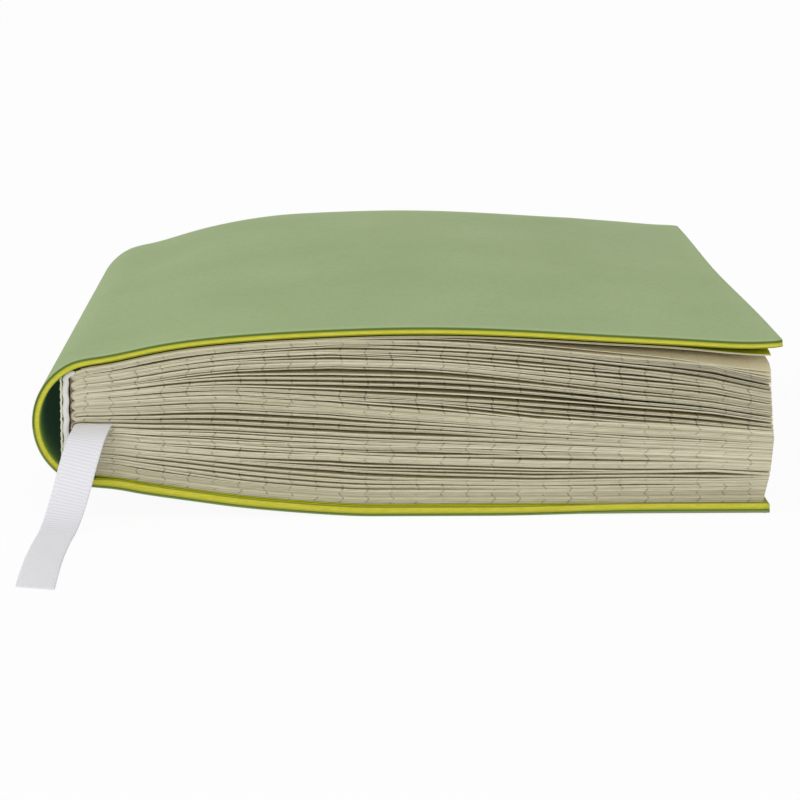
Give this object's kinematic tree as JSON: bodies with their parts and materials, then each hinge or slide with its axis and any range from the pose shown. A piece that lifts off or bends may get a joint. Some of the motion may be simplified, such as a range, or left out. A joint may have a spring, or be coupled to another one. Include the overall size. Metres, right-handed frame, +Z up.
{
  "type": "notebook",
  "caption": "Sewn notebook in a soft cut-edge cover of imitation leather, with a hollow rounded spine, squared pages and a woven ribbon marker. Both covers open.",
  "frame": {"origin": "middle of the closed book's footprint, at the face it rests on", "axes": "+X from the spine to the fore-edge, +Y from the tail to the head, +Z up through the closed book"},
  "size_m": [0.1468, 0.2765, 0.0376],
  "materials": {
    "cover_skin": "satin",
    "cover_core": "matte",
    "cover_lining": "matte",
    "endpaper": "matte",
    "pages": "matte",
    "thread": "matte",
    "glue": "satin",
    "gauze": "matte",
    "crepe_paper": "matte",
    "woven_band": "satin",
    "ribbon": "satin"
  },
  "bodies": {
    "book_block": {"text_block": "pages", "front_flyleaf": "endpaper", "back_flyleaf": "endpaper", "sewing_thread": "thread", "spine_glue": "glue", "spine_mull": "gauze", "spine_liner": "crepe_paper", "head_band": "woven_band", "tail_band": "woven_band", "ribbon_inner_run": "ribbon", "ribbon": "ribbon", "spine_skin": "cover_skin", "spine_core": "cover_core", "spine_lining": "cover_lining"},
    "front_cover": {"front_skin": "cover_skin", "front_core": "cover_core", "front_lining": "cover_lining", "front_pastedown": "endpaper"},
    "back_cover": {"back_skin": "cover_skin", "back_core": "cover_core", "back_lining": "cover_lining", "back_pastedown": "endpaper"}
  },
  "joints": [
    {"name": "front_cover_hinge", "type": "hinge", "parent": "book_block", "child": "front_cover", "pos_m": [-0.06627, 0, 0.03077], "axis": [0, -1, 0], "range_deg": [0, 180]},
    {"name": "back_cover_hinge", "type": "hinge", "parent": "book_block", "child": "back_cover", "pos_m": [-0.06424, 0, 0.00643], "axis": [0, 1, 0], "range_deg": [0, 180]}
  ]
}
